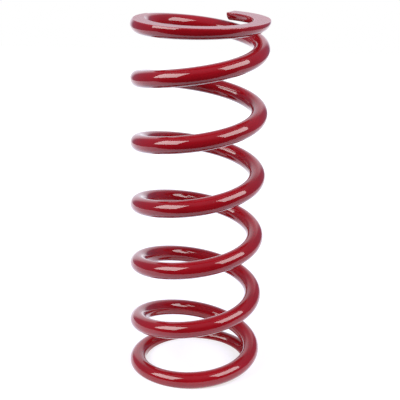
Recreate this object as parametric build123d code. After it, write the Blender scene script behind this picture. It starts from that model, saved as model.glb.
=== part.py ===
"""Helical compression spring for a coil-over damper: one round bar, wound right-handed, closed and ground flat at both ends.

Frame: origin on the spring's axis, in the plane of the bottom ground face, +Z along the axis, millimetres.
A place along the bar is given by its winding angle u in degrees, which is 0 at the bottom tip and grows
anticlockwise seen from above. The end coils are rigid. The active bar between them is made in short arcs of
equal winding angle. Their faces lie in vertical planes through the axis, so every arc can sink straight down
by its own share when the spring is compressed, and its faces slide past its neighbours' faces.
"""

import os
from math import cos, pi, radians, sin

from build123d import *

# Driving dimensions, in millimetres, degrees and turns
INNER_DIAMETER = 64.2
BAR_DIAMETER = 10.6
FREE_LENGTH = 228.6
TOTAL_TURNS = 7.15
BOTTOM_TIP_AZIMUTH = 7.0
BOTTOM_TIP_THICKNESS = 4.6  # what grinding leaves of the bar at the tip
TOP_TIP_THICKNESS = 5.4
END_RISE_PER_TURN = 4.0  # how fast the bar climbs where an end coil lies closed
BOTTOM_OPENING_MIDDLE = 286.0  # winding angle from the tip at which the pitch is half open
BOTTOM_OPENING_SPAN = 330.0
TOP_OPENING_MIDDLE = 293.0
TOP_OPENING_SPAN = 370.0
ARCS_PER_TURN = 10
ACTIVE_ARCS = 52
FACE_GAP = 0.1  # between the faces of neighbouring arcs

# Sizes that follow from them
BAR_RADIUS = BAR_DIAMETER / 2
COIL_RADIUS = INNER_DIAMETER / 2 + BAR_RADIUS
WINDING = 360.0 * TOTAL_TURNS
ARC_SPAN = 360.0 / ARCS_PER_TURN
END_COIL_SPAN = (WINDING - ACTIVE_ARCS * ARC_SPAN) / 2
END_COIL_ARCS = round(END_COIL_SPAN / ARC_SPAN)
BOTTOM_TIP_HEIGHT = BOTTOM_TIP_THICKNESS - BAR_RADIUS  # of the bar's centre over the ground face
TOP_TIP_DEPTH = TOP_TIP_THICKNESS - BAR_RADIUS  # of the bar's centre under the top ground face
END_SLOPE = END_RISE_PER_TURN / (2 * pi)  # rise per radian
BOTTOM_OPENING_START = BOTTOM_OPENING_MIDDLE - BOTTOM_OPENING_SPAN / 2
TOP_CLOSING_START = WINDING - TOP_OPENING_MIDDLE - TOP_OPENING_SPAN / 2
OPEN_WINDING = WINDING - BOTTOM_OPENING_MIDDLE - TOP_OPENING_MIDDLE
TIP_TO_TIP_RISE = FREE_LENGTH - BOTTOM_TIP_HEIGHT - TOP_TIP_DEPTH
ADDED_SLOPE = (TIP_TO_TIP_RISE - END_SLOPE * radians(WINDING)) / radians(OPEN_WINDING)
OVERHANG = 3.0  # degrees by which an arc is made too long before its face is cut


def opened_angle(u, start, span):
    """Radians of fully open winding passed by u, where the pitch opens smoothly from start over span."""
    share = min(max((u - start) / span, 0.0), 1.0)
    eased = radians(span) * (share / 2 - sin(pi * share) / (2 * pi))
    return eased + radians(max(u - start - span, 0.0))


def bar_height(u):
    """Height of the bar's centre above the bottom ground face."""
    opened = opened_angle(u, BOTTOM_OPENING_START, BOTTOM_OPENING_SPAN)
    closed = opened_angle(u, TOP_CLOSING_START, TOP_OPENING_SPAN)
    return BOTTOM_TIP_HEIGHT + END_SLOPE * radians(u) + ADDED_SLOPE * (opened - closed)


def bar_centre(u):
    azimuth = radians(BOTTOM_TIP_AZIMUTH + u)
    return Vector(COIL_RADIUS * cos(azimuth), COIL_RADIUS * sin(azimuth), bar_height(u))


def radial_plane(u, shift=0.0):
    """Vertical plane through the axis at winding angle u, facing up the winding and moved on by shift."""
    azimuth = radians(BOTTOM_TIP_AZIMUTH + u)
    facing = Vector(-sin(azimuth), cos(azimuth), 0)
    return Plane(origin=facing * shift, x_dir=Vector(cos(azimuth), sin(azimuth), 0), z_dir=facing)


def arc_through(u_from, u_to):
    """Circular arc through the winding at two angles and halfway between them."""
    return ThreePointArc(bar_centre(u_from), bar_centre((u_from + u_to) / 2), bar_centre(u_to))


def bar_along(path, before=0.0, after=0.0):
    """Round bar along a circular arc, longer by so many degrees before its start and after its end."""
    axis = Axis(origin=path.arc_center, direction=path.normal())
    section = Plane(origin=path @ 0, z_dir=path % 0) * Circle(BAR_RADIUS)
    turned = path.length / path.radius * 180 / pi
    return revolve(section.rotate(axis, -before), axis, turned + before + after)


def end_coil_bar(u_from, u_to, gap_before, gap_after):
    """Bar of an end coil, as tangent arcs, with a vertical face at each end set back by its gap."""
    step = (u_to - u_from) / END_COIL_ARCS
    paths = [arc_through(u_from, u_from + step)]
    for number in range(2, END_COIL_ARCS + 1):
        paths.append(TangentArc(paths[-1] @ 1, bar_centre(u_from + number * step), tangent=paths[-1] % 1))
    first = split(bar_along(paths[0], before=OVERHANG), radial_plane(u_from, gap_before), keep=Keep.TOP)
    last = split(bar_along(paths[-1], after=OVERHANG), radial_plane(u_to, -gap_after), keep=Keep.BOTTOM)
    bar = first
    for path in paths[1:-1]:
        bar += bar_along(path)
    return bar + last


def bottom_end_coil():
    """First coil, from its ground tip to where the bar passes over the tip."""
    return split(end_coil_bar(0, END_COIL_SPAN, 0, FACE_GAP / 2), Plane.XY, keep=Keep.TOP)


def top_end_coil():
    """Last coil, from where the bar comes out from under the tip to the ground tip itself."""
    ground = Plane.XY.offset(FREE_LENGTH)
    return split(end_coil_bar(WINDING - END_COIL_SPAN, WINDING, FACE_GAP / 2, 0), ground, keep=Keep.BOTTOM)


def active_arc(number):
    """One arc of the active bar, numbered from 0 at the bottom."""
    u_from = END_COIL_SPAN + number * ARC_SPAN
    u_to = u_from + ARC_SPAN
    bar = bar_along(arc_through(u_from, u_to), before=OVERHANG, after=OVERHANG)
    bar = split(bar, radial_plane(u_from, FACE_GAP / 2), keep=Keep.TOP)
    return split(bar, radial_plane(u_to, -FACE_GAP / 2), keep=Keep.BOTTOM)


def arc_name(number):
    """Name of an active arc by its coil and its place in the coil, both counted from 1 at the bottom."""
    return f"coil_{number // ARCS_PER_TURN + 1}_arc_{number % ARCS_PER_TURN + 1:02d}"


def write(name, solid):
    export_step(solid, f"parts/{name}.step")
    print(f"{name:18s} {solid.volume:9.1f} mm3")


os.makedirs("parts", exist_ok=True)
write("bottom_end_coil", bottom_end_coil())
for arc_number in range(ACTIVE_ARCS):
    write(arc_name(arc_number), active_arc(arc_number))
write("top_end_coil", top_end_coil())
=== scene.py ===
from math import cos, degrees, pi, radians, sin, sqrt

import bpy
import numpy as np
from mathutils import Matrix, Vector


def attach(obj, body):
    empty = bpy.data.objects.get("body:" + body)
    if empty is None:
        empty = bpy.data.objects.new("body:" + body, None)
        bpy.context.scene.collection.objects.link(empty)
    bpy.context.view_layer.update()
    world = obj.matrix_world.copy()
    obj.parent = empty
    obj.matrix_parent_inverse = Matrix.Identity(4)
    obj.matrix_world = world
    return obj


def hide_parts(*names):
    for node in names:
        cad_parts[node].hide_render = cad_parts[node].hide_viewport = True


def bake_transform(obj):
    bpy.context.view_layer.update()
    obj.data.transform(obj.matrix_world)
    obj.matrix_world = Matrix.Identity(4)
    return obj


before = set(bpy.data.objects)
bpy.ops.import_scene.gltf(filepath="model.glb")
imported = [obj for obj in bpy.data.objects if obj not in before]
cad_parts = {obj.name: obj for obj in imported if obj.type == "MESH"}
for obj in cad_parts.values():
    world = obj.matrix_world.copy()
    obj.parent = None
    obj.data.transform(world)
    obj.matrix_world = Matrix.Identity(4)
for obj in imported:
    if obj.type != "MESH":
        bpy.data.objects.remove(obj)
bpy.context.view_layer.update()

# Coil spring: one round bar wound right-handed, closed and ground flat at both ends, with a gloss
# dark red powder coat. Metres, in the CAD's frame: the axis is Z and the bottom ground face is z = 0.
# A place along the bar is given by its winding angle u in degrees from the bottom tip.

# The bar, with the same sizes as the CAD
INNER_DIAMETER = 0.0642
BAR_DIAMETER = 0.0106
FREE_LENGTH = 0.2286
WINDING = 2574
BOTTOM_TIP_AZIMUTH = 7
BOTTOM_TIP_THICKNESS = 0.0046
TOP_TIP_THICKNESS = 0.0054
END_RISE_PER_TURN = 0.0040
BOTTOM_OPENING_MIDDLE = 286
BOTTOM_OPENING_SPAN = 330
TOP_OPENING_MIDDLE = 293
TOP_OPENING_SPAN = 370
ARC_SPAN = 36
ARCS_PER_COIL = 10
ACTIVE_ARCS = 52
EASED_SPAN = 72

BAR_RADIUS = BAR_DIAMETER / 2
COIL_RADIUS = INNER_DIAMETER / 2 + BAR_RADIUS
END_COIL_SPAN = (WINDING - ACTIVE_ARCS * ARC_SPAN) / 2
BOTTOM_TIP_HEIGHT = BOTTOM_TIP_THICKNESS - BAR_RADIUS
TOP_TIP_DEPTH = TOP_TIP_THICKNESS - BAR_RADIUS
END_SLOPE = END_RISE_PER_TURN / (2 * pi)
BOTTOM_OPENING_START = BOTTOM_OPENING_MIDDLE - BOTTOM_OPENING_SPAN / 2
TOP_CLOSING_START = WINDING - TOP_OPENING_MIDDLE - TOP_OPENING_SPAN / 2
TIP_TO_TIP_RISE = FREE_LENGTH - BOTTOM_TIP_HEIGHT - TOP_TIP_DEPTH
OPEN_WINDING = WINDING - BOTTOM_OPENING_MIDDLE - TOP_OPENING_MIDDLE
ADDED_SLOPE = (TIP_TO_TIP_RISE - END_SLOPE * radians(WINDING)) / radians(OPEN_WINDING)

# The edge left by grinding and by cutting the tip, softened by the coat
EDGE_RADIUS = 0.0005
ONTO_ROUND = BAR_RADIUS / (BAR_RADIUS - EDGE_RADIUS)
EDGE_ANGLE = degrees(EDGE_RADIUS / COIL_RADIUS)

# Points round half of a section: across the ground flat, round its edge, and over the rest of the bar
FLAT_STEPS = 5
EDGE_STEPS = 4
ROUND_STEPS = 22
HALF_STEPS = FLAT_STEPS + EDGE_STEPS + ROUND_STEPS
SECTION_POINTS = 2 * HALF_STEPS
EVEN_STEP = pi / HALF_STEPS
LEAST_STEP = radians(2.5)
NUDGE = 0.0001

# Winding angles from a tip: where the points of the section spread out evenly, and where the finely
# divided side begins to turn over from the bottom of the bar to its top
EVENING_START = 300
EVENING_SPAN = 90
TURNING_START = 400


def clamped(value):
    return min(max(value, 0.0), 1.0)


def opened_angle(u, start, span):
    """The angle in radians run at full slope by winding angle u, where the slope eases in over a span."""
    share = clamped((u - start) / span)
    eased = radians(span) * (share / 2 - sin(pi * share) / (2 * pi))
    return eased + radians(max(u - start - span, 0.0))


def bar_height(u):
    """Height of the bar's centre at winding angle u."""
    opened = opened_angle(u, BOTTOM_OPENING_START, BOTTOM_OPENING_SPAN)
    closed = opened_angle(u, TOP_CLOSING_START, TOP_OPENING_SPAN)
    return BOTTOM_TIP_HEIGHT + END_SLOPE * radians(u) + ADDED_SLOPE * (opened - closed)


def travel_share(u):
    """Share of the top end coil's travel at winding angle u: the slope falls evenly between the end coils."""
    begun = opened_angle(u, END_COIL_SPAN, EASED_SPAN)
    ended = opened_angle(u, WINDING - END_COIL_SPAN - EASED_SPAN, EASED_SPAN)
    return (begun - ended) / radians(WINDING - 2 * END_COIL_SPAN - EASED_SPAN)


def outline_point(angle, depth, middle, flat_half):
    """The section's point in the direction at an angle round its middle, from straight towards the cut.

    It is given as x, y, nx, ny, flat and edge: place, normal, and marks for the ground flat and its edge.
    """
    dx, dy = sin(angle), -cos(angle)
    if flat_half > 0:
        if dy < 0 and abs(dx / dy) * (middle + depth) <= flat_half * (1 + NUDGE):
            x = dx * (middle + depth) / -dy
            return x, -depth, 0.0, -1.0, 1.0, float(x > flat_half * (1 - NUDGE))
        edge_y = EDGE_RADIUS - depth
        along = dx * flat_half + dy * (edge_y - middle)
        inside = along ** 2 - flat_half ** 2 - (edge_y - middle) ** 2 + EDGE_RADIUS ** 2
        before_round = dx * (edge_y * ONTO_ROUND - middle) - dy * flat_half * ONTO_ROUND > -1e-9
        if inside > 0 and before_round:
            distance = along + sqrt(inside)
            x, y = dx * distance, middle + dy * distance
            return x, y, (x - flat_half) / EDGE_RADIUS, (y - edge_y) / EDGE_RADIUS, 0.0, 1.0
    along = dy * middle
    distance = -along + sqrt(along ** 2 - middle ** 2 + BAR_RADIUS ** 2)
    x, y = dx * distance, middle + dy * distance
    return x, y, x / BAR_RADIUS, y / BAR_RADIUS, 0.0, 0.0


def section_outline(depth, evenness):
    """Points and normals all round the section, from the middle of its cut side, as outline_point gives them.

    The bar's centre is at 0, 0 and the cut is the line y = -depth. evenness is 0 where the points crowd
    round the cut's edge and 1 where they are evenly spaced.
    """
    flat_half = 0.0
    if depth < BAR_RADIUS:
        flat_half = sqrt(max((BAR_RADIUS - EDGE_RADIUS) ** 2 - (depth - EDGE_RADIUS) ** 2, 0.0))
    depth = min(depth, BAR_RADIUS)
    middle = (BAR_RADIUS - depth) / 2
    flat_angle = np.arctan2(flat_half, middle + depth)
    edge_angle = np.arctan2(flat_half * ONTO_ROUND, middle - (EDGE_RADIUS - depth) * ONTO_ROUND)
    flat_least = LEAST_STEP + evenness * (FLAT_STEPS * EVEN_STEP - LEAST_STEP)
    edge_least = LEAST_STEP + evenness * (EDGE_STEPS * EVEN_STEP - LEAST_STEP)
    flat_angle = max(flat_angle, flat_least)
    edge_angle = max(edge_angle, flat_angle + edge_least)
    angles = np.concatenate([
        np.linspace(0, flat_angle, FLAT_STEPS + 1),
        np.linspace(flat_angle, edge_angle, EDGE_STEPS + 1)[1:],
        np.linspace(edge_angle, pi, ROUND_STEPS + 1)[1:],
    ])
    half = np.array([outline_point(angle, depth, middle, flat_half) for angle in angles])
    other = half[-2:0:-1].copy()
    other[:, [0, 2]] *= -1
    return np.concatenate([half, other])


def section_frame(u):
    """Centre of the bar at winding angle u with its outward, forward and upward directions."""
    azimuth = radians(BOTTOM_TIP_AZIMUTH + u)
    slope = (bar_height(u + 0.05) - bar_height(u - 0.05)) / radians(0.1) / COIL_RADIUS
    level = 1 / sqrt(1 + slope * slope)
    outward = np.array([cos(azimuth), sin(azimuth), 0.0])
    forward = np.array([-sin(azimuth) * level, cos(azimuth) * level, slope * level])
    upward = np.cross(outward, forward)
    centre = outward * COIL_RADIUS + np.array([0.0, 0.0, bar_height(u)])
    return centre, outward, forward, upward


def ring(u, inset=0.0, lean=0.0):
    """Points, normals and marks of the section at winding angle u.

    For a tip's rounded edge, inset draws the section in and lean turns its normals towards the tip's face.
    """
    centre, outward, forward, upward = section_frame(u)
    at_top = u > WINDING / 2
    side = -1.0 if at_top else 1.0
    depth = (FREE_LENGTH - centre[2] if at_top else centre[2]) / upward[2]
    is_ground = depth < BAR_RADIUS
    from_tip = WINDING - u if at_top else u
    evenness = 0.0 if is_ground else clamped((from_tip - EVENING_START) / EVENING_SPAN)
    x, y, nx, ny, flat, rounded = section_outline(depth, evenness).T
    turn = pi * clamped((u - TURNING_START) / (WINDING - 2 * TURNING_START))
    c, s = cos(turn), sin(turn)
    x, y = c * x - s * y, s * x + c * y
    nx, ny = c * nx - s * ny, s * nx + c * ny
    if inset:
        middle_y = (BAR_RADIUS - min(depth, BAR_RADIUS)) / 2 * side
        scale = 1 - inset / np.hypot(x, y - middle_y)
        x, y = x * scale, middle_y + (y - middle_y) * scale
    points = centre + np.outer(x, outward) + np.outer(y, upward)
    normals = np.outer(nx, outward) + np.outer(ny, upward)
    if is_ground:
        # the flat and its edge face straight down or up, since the cut is level and the bar slopes
        ground_normal = np.array([0.0, 0.0, -side])
        held = np.maximum(flat, rounded * np.abs(ny))[:, None]
        level_normals = np.outer(nx, outward) + np.outer(np.abs(ny), ground_normal)
        normals = normals * (1 - held) + level_normals * held
    normals = normals * cos(lean) - forward * (sin(lean) * side)
    normals /= np.linalg.norm(normals, axis=1)[:, None]
    return points, normals, flat, rounded


def ring_places(start, end, tip):
    """Winding angle, inset and lean of each ring along a length of bar, with any tip of it rounded."""
    places = [(u, 0.0, 0.0) for u in np.linspace(start, end, int(round(end - start)) + 1)]
    rounding = []
    for lean in (pi / 8, pi / 4, 3 * pi / 8, pi / 2):
        rounding.append((EDGE_ANGLE * (1 - sin(lean)), EDGE_RADIUS * (1 - cos(lean)), lean))
    if tip == "bottom":
        tip_rings = [(start + along, inset, lean) for along, inset, lean in reversed(rounding)]
        return tip_rings + [(start + EDGE_ANGLE, 0.0, 0.0)] + places[1:]
    if tip == "top":
        tip_rings = [(end - along, inset, lean) for along, inset, lean in rounding]
        return places[:-1] + [(end - EDGE_ANGLE, 0.0, 0.0)] + tip_rings
    return places


def tube(name, start, end, tip=None):
    """A length of the bar as a closed mesh with marks for the material, and its points' shares of travel."""
    places = ring_places(start, end, tip)
    rings = [ring(*place) for place in places]
    n = SECTION_POINTS
    points = np.concatenate([made[0] for made in rings])
    normals = np.concatenate([made[1] for made in rings])
    ground = np.concatenate([made[2] for made in rings])
    edges = np.concatenate([
        np.maximum(made[3], float(inset > 0)) for made, (_, inset, _) in zip(rings, places)])
    windings = np.repeat([u for u, _, _ in places], n)
    faces = []
    for k in range(len(rings) - 1):
        a, b = k * n, (k + 1) * n
        faces += [(b + i, b + (i + 1) % n, a + (i + 1) % n, a + i) for i in range(n)]
    # each end is closed by a flat face with points of its own, so that the coat runs on smoothly past it
    for k, direction in ((0, -1.0), (len(rings) - 1, 1.0)):
        rim = rings[k][0]
        u = places[k][0]
        forward = section_frame(u)[2]
        first = len(points)
        middle = rim.mean(0)
        inner = (rim + middle) / 2
        added = 2 * n + 1
        points = np.concatenate([points, rim, inner, middle[None]])
        normals = np.concatenate([normals, np.repeat(forward[None] * direction, added, 0)])
        ground = np.concatenate([ground, np.zeros(added)])
        edges = np.concatenate([edges, np.zeros(added)])
        windings = np.concatenate([windings, np.repeat(u, added)])
        for i in range(n):
            j = (i + 1) % n
            quad = (first + i, first + n + i, first + n + j, first + j)
            fan = (first + n + i, first + 2 * n, first + n + j)
            faces += [quad, fan] if direction > 0 else [quad[::-1], fan[::-1]]
    mesh = bpy.data.meshes.new(name)
    mesh.from_pydata([tuple(p) for p in points], [], faces)
    mesh.polygons.foreach_set("use_smooth", [True] * len(mesh.polygons))
    for mark, values in (("ground_face", ground), ("worn_edge", edges)):
        mesh.attributes.new(mark, "FLOAT", "POINT").data.foreach_set("value", values.astype(np.float32))
    mesh.update()
    mesh.normals_split_custom_set_from_vertices([tuple(v) for v in normals])
    piece = bpy.data.objects.new(name, mesh)
    bpy.context.scene.collection.objects.link(piece)
    return piece, np.array([travel_share(u) for u in windings], np.float32)


# Materials

def add_node(tree, kind, **values):
    """A new node, with its inputs or its own settings set by name."""
    node = tree.nodes.new(kind)
    for key, value in values.items():
        if key in node.inputs:
            node.inputs[key].default_value = value
        else:
            setattr(node, key, value)
    return node


def multiply_add(tree, socket, factor, offset):
    node = add_node(tree, "ShaderNodeMath", operation="MULTIPLY_ADD")
    tree.links.new(socket, node.inputs[0])
    node.inputs[1].default_value = factor
    node.inputs[2].default_value = offset
    return node


def product(tree, *factors):
    result = factors[0]
    for factor in factors[1:]:
        node = add_node(tree, "ShaderNodeMath", operation="MULTIPLY")
        tree.links.new(result, node.inputs[0])
        tree.links.new(factor, node.inputs[1])
        result = node.outputs["Value"]
    return result


def powder_coat_material():
    """Gloss dark red powder coat with slight orange peel, thinner and duller on ground faces and edges."""
    material = bpy.data.materials.new("powder_coat")
    material.use_nodes = True
    tree = material.node_tree
    tree.nodes.clear()
    link = tree.links.new
    where = add_node(tree, "ShaderNodeTexCoord").outputs["Object"]
    ground = add_node(tree, "ShaderNodeAttribute", attribute_name="ground_face").outputs["Fac"]
    edge = add_node(tree, "ShaderNodeAttribute", attribute_name="worn_edge").outputs["Fac"]

    # colour: a faint mottle in the film, and a lighter red where it is thin over an edge
    mottle = add_node(tree, "ShaderNodeTexNoise", Scale=55.0, Detail=4.0, Roughness=0.6)
    link(where, mottle.inputs["Vector"])
    film = add_node(tree, "ShaderNodeValToRGB")
    deep, light = film.color_ramp.elements
    deep.position = 0.3
    deep.color = (0.215, 0.0030, 0.0066, 1)
    light.position = 0.7
    light.color = (0.265, 0.0042, 0.0094, 1)
    link(mottle.outputs["Fac"], film.inputs["Fac"])
    wear = add_node(tree, "ShaderNodeTexNoise", Scale=900.0, Detail=3.0, Roughness=0.7)
    link(where, wear.inputs["Vector"])
    colour = add_node(tree, "ShaderNodeMix", data_type="RGBA")
    link(product(tree, edge, wear.outputs["Fac"]), colour.inputs["Factor"])
    link(film.outputs["Color"], colour.inputs["A"])
    colour.inputs["B"].default_value = (0.30, 0.030, 0.040, 1)

    # surface: orange peel over all of it, fine grinding lines under the film on the ground faces
    peel = add_node(tree, "ShaderNodeTexNoise", Scale=520.0, Detail=2.0, Roughness=0.45)
    link(where, peel.inputs["Vector"])
    peel_bump = add_node(tree, "ShaderNodeBump", Strength=0.10, Distance=0.00010)
    link(peel.outputs["Fac"], peel_bump.inputs["Height"])
    lines = add_node(tree, "ShaderNodeTexWave", Scale=420.0, Distortion=1.2, Detail=2.0)
    lines.inputs["Detail Scale"].default_value = 3.0
    link(where, lines.inputs["Vector"])
    bump = add_node(tree, "ShaderNodeBump", Strength=0.10, Distance=0.00012)
    link(product(tree, lines.outputs["Fac"], ground), bump.inputs["Height"])
    link(peel_bump.outputs["Normal"], bump.inputs["Normal"])

    # gloss: a faintly uneven film, duller and with less clear coat on a ground face
    gloss = add_node(tree, "ShaderNodeMapRange")
    gloss.inputs["To Min"].default_value = 0.10
    gloss.inputs["To Max"].default_value = 0.15
    link(mottle.outputs["Fac"], gloss.inputs["Value"])
    duller = multiply_add(tree, ground, 0.14, 0.0)
    link(gloss.outputs["Result"], duller.inputs[2])
    coat = multiply_add(tree, ground, -0.45, 1.0)

    shader = add_node(tree, "ShaderNodeBsdfPrincipled")
    shader.inputs["Coat Roughness"].default_value = 0.025
    shader.inputs["Coat IOR"].default_value = 1.5
    shader.inputs["IOR"].default_value = 1.45
    shader.inputs["Specular IOR Level"].default_value = 0.12
    link(colour.outputs["Result"], shader.inputs["Base Color"])
    link(duller.outputs["Value"], shader.inputs["Roughness"])
    link(coat.outputs["Value"], shader.inputs["Coat Weight"])
    link(bump.outputs["Normal"], shader.inputs["Normal"])
    link(peel_bump.outputs["Normal"], shader.inputs["Coat Normal"])
    output = add_node(tree, "ShaderNodeOutputMaterial")
    link(shader.outputs["BSDF"], output.inputs["Surface"])
    return material


# Pieces: the two end coils ride on their own bodies, and each open coil between them is a piece of its own.
# Each section's share of the travel is worked out, but nothing here moves the sections by it.

def end_coil(body, start, end, tip):
    piece, _ = tube(f"spring_{body}", start, end, tip=tip)
    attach(piece, body)
    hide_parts(body)
    return piece


def open_coil(number, first_arc, arcs):
    """An open coil, numbered from 1 at the bottom, in place of its arcs of the CAD."""
    start = END_COIL_SPAN + first_arc * ARC_SPAN
    piece, shares = tube(f"spring_coil_{number}", start, start + arcs * ARC_SPAN)
    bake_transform(piece)
    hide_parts(*[f"coil_{number}_arc_{k + 1:02d}" for k in range(arcs)])
    return piece


pieces = [
    end_coil("bottom_end_coil", 0, END_COIL_SPAN, "bottom"),
    end_coil("top_end_coil", WINDING - END_COIL_SPAN, WINDING, "top"),
]
for number, first_arc in enumerate(range(0, ACTIVE_ARCS, ARCS_PER_COIL), start=1):
    pieces.append(open_coil(number, first_arc, min(ARCS_PER_COIL, ACTIVE_ARCS - first_arc)))
powder_coat = powder_coat_material()
for piece in pieces:
    piece.data.materials.append(powder_coat)

# Floor: a pale table that ends a little in front of the spring and runs on behind it. It glows a little,
# less so near the spring, where the soft shadow shows.
TABLE_FRONT = -0.16
TABLE_BACK = 1.2
TABLE_SIDE = 0.55
TABLE_DROP = 0.0002
GLOW_NEAR = 0.68
GLOW_FAR = 1.0


def floor_material():
    material = bpy.data.materials.new("floor")
    material.use_nodes = True
    tree = material.node_tree
    shader = tree.nodes["Principled BSDF"]
    shader.inputs["Base Color"].default_value = (0.40, 0.385, 0.56, 1)
    shader.inputs["Roughness"].default_value = 0.9
    shader.inputs["Specular IOR Level"].default_value = 0.1
    shader.inputs["Emission Color"].default_value = (0.96, 0.99, 0.89, 1)
    where = add_node(tree, "ShaderNodeTexCoord")
    far = add_node(tree, "ShaderNodeVectorMath", operation="LENGTH")
    tree.links.new(where.outputs["Object"], far.inputs[0])
    glow = add_node(tree, "ShaderNodeMapRange", interpolation_type="SMOOTHSTEP")
    glow.inputs["From Min"].default_value = 0.06
    glow.inputs["From Max"].default_value = 0.8
    glow.inputs["To Min"].default_value = GLOW_NEAR
    glow.inputs["To Max"].default_value = GLOW_FAR
    tree.links.new(far.outputs["Value"], glow.inputs["Value"])
    tree.links.new(glow.outputs["Result"], shader.inputs["Emission Strength"])
    return material


floor_mesh = bpy.data.meshes.new("floor")
floor_corners = [(-TABLE_SIDE, TABLE_FRONT, 0), (TABLE_SIDE, TABLE_FRONT, 0),
                 (TABLE_SIDE, TABLE_BACK, 0), (-TABLE_SIDE, TABLE_BACK, 0)]
floor_mesh.from_pydata(floor_corners, [], [(0, 1, 2, 3)])
floor_mesh.materials.append(floor_material())
floor = bpy.data.objects.new("floor", floor_mesh)
floor.location.z = -TABLE_DROP
bpy.context.scene.collection.objects.link(floor)

# Room: a white sweep straight behind the spring, dim walls and ceiling round it, and darkness in front.
# The camera itself sees plain white, as in a cut-out product shot.
DARK_FRONT = (0.02, 0.02, 0.025)
WALLS = (0.20, 0.20, 0.30)
CEILING = (0.28, 0.28, 0.38)
SWEEP = (0.94, 0.91, 1.02)
PLAIN_WHITE = (1.0, 1.0, 1.0)


def ramp(tree, socket, low, high):
    """A factor that rises smoothly from 0 at low to 1 at high, or falls where low is the larger."""
    node = add_node(tree, "ShaderNodeMapRange", interpolation_type="SMOOTHSTEP")
    node.inputs["From Min"].default_value = min(low, high)
    node.inputs["From Max"].default_value = max(low, high)
    node.inputs["To Min"].default_value = float(low > high)
    node.inputs["To Max"].default_value = float(low < high)
    tree.links.new(socket, node.inputs["Value"])
    return node.outputs["Result"]


def mix(tree, factor, first, second):
    """Goes over from the first colour to the second, each given as a value or as a socket."""
    node = add_node(tree, "ShaderNodeMix", data_type="RGBA")
    tree.links.new(factor, node.inputs["Factor"])
    for name, colour in (("A", first), ("B", second)):
        if isinstance(colour, tuple):
            node.inputs[name].default_value = (*colour, 1)
        else:
            tree.links.new(colour, node.inputs[name])
    return node.outputs["Result"]


def studio_world():
    world = bpy.data.worlds.new("studio")
    world.use_nodes = True
    tree = world.node_tree
    tree.nodes.clear()
    direction = add_node(tree, "ShaderNodeTexCoord")
    parts = add_node(tree, "ShaderNodeSeparateXYZ")
    tree.links.new(direction.outputs["Generated"], parts.inputs["Vector"])
    x, y, z = parts.outputs["X"], parts.outputs["Y"], parts.outputs["Z"]
    walls = mix(tree, ramp(tree, y, -0.6, 0.0), DARK_FRONT, WALLS)
    room = mix(tree, ramp(tree, z, 0.3, 0.9), walls, CEILING)
    sweep_sides = product(tree, ramp(tree, x, -0.65, -0.40), ramp(tree, x, 0.50, 0.25))
    sweep = product(tree, sweep_sides, ramp(tree, y, 0.2, 0.5), ramp(tree, z, 0.78, 0.50))
    room = mix(tree, sweep, room, SWEEP)
    seen = add_node(tree, "ShaderNodeLightPath")
    sky = mix(tree, seen.outputs["Is Camera Ray"], room, PLAIN_WHITE)
    background = add_node(tree, "ShaderNodeBackground")
    tree.links.new(sky, background.inputs["Color"])
    output = add_node(tree, "ShaderNodeOutputWorld")
    tree.links.new(background.outputs["Background"], output.inputs["Surface"])
    return world


bpy.context.scene.world = studio_world()

# Two softboxes, to the left and to the right of the camera, aimed at the middle of the spring
SPRING_MIDDLE = Vector((0, 0, FREE_LENGTH / 2))
SOFTBOX_DISTANCE = 1.0


def softbox(name, azimuth, elevation, width, height, radiance):
    """A softbox seen from the spring at an azimuth, in degrees to the right of the camera's side."""
    light = bpy.data.lights.new(name, "AREA")
    light.shape = "RECTANGLE"
    light.size = width
    light.size_y = height
    light.energy = radiance * pi * width * height
    lamp = bpy.data.objects.new(name, light)
    a, e = radians(azimuth), radians(elevation)
    away = Vector((sin(a) * cos(e), -cos(a) * cos(e), sin(e)))
    lamp.location = SPRING_MIDDLE + away * SOFTBOX_DISTANCE
    lamp.rotation_mode = "QUATERNION"
    lamp.rotation_quaternion = away.to_track_quat("Z", "Y")
    lamp.visible_camera = False
    bpy.context.scene.collection.objects.link(lamp)


softbox("softbox_left", -61, 35, 0.80, 0.64, 6.9)
softbox("softbox_right", 61.5, 41, 0.79, 0.68, 6.3)

# Camera: a little to the right, looking down on the spring and slightly tilted
CAMERA_PLACE = (0.01125, -0.61415, 0.31539)
CAMERA_YAW = radians(0.880)
CAMERA_PITCH = radians(18.233)
CAMERA_ROLL = radians(1.165)

camera_data = bpy.data.cameras.new("camera")
camera_data.sensor_width = 36
camera_data.lens = 91.09
camera_data.clip_start = 0.01
camera_data.clip_end = 50
camera = bpy.data.objects.new("camera", camera_data)
bpy.context.scene.collection.objects.link(camera)
level_sight = Vector((-sin(CAMERA_YAW), cos(CAMERA_YAW), 0))
sight = level_sight * cos(CAMERA_PITCH) - Vector((0, 0, sin(CAMERA_PITCH)))
level_right = sight.cross(Vector((0, 0, 1))).normalized()
level_up = level_right.cross(sight)
right = level_right * cos(CAMERA_ROLL) + level_up * sin(CAMERA_ROLL)
up = level_up * cos(CAMERA_ROLL) - level_right * sin(CAMERA_ROLL)
turned = Matrix((right, up, -sight)).transposed().to_4x4()
camera.matrix_world = Matrix.Translation(CAMERA_PLACE) @ turned
bpy.context.scene.camera = camera

bpy.context.scene.view_settings.view_transform = "Standard"
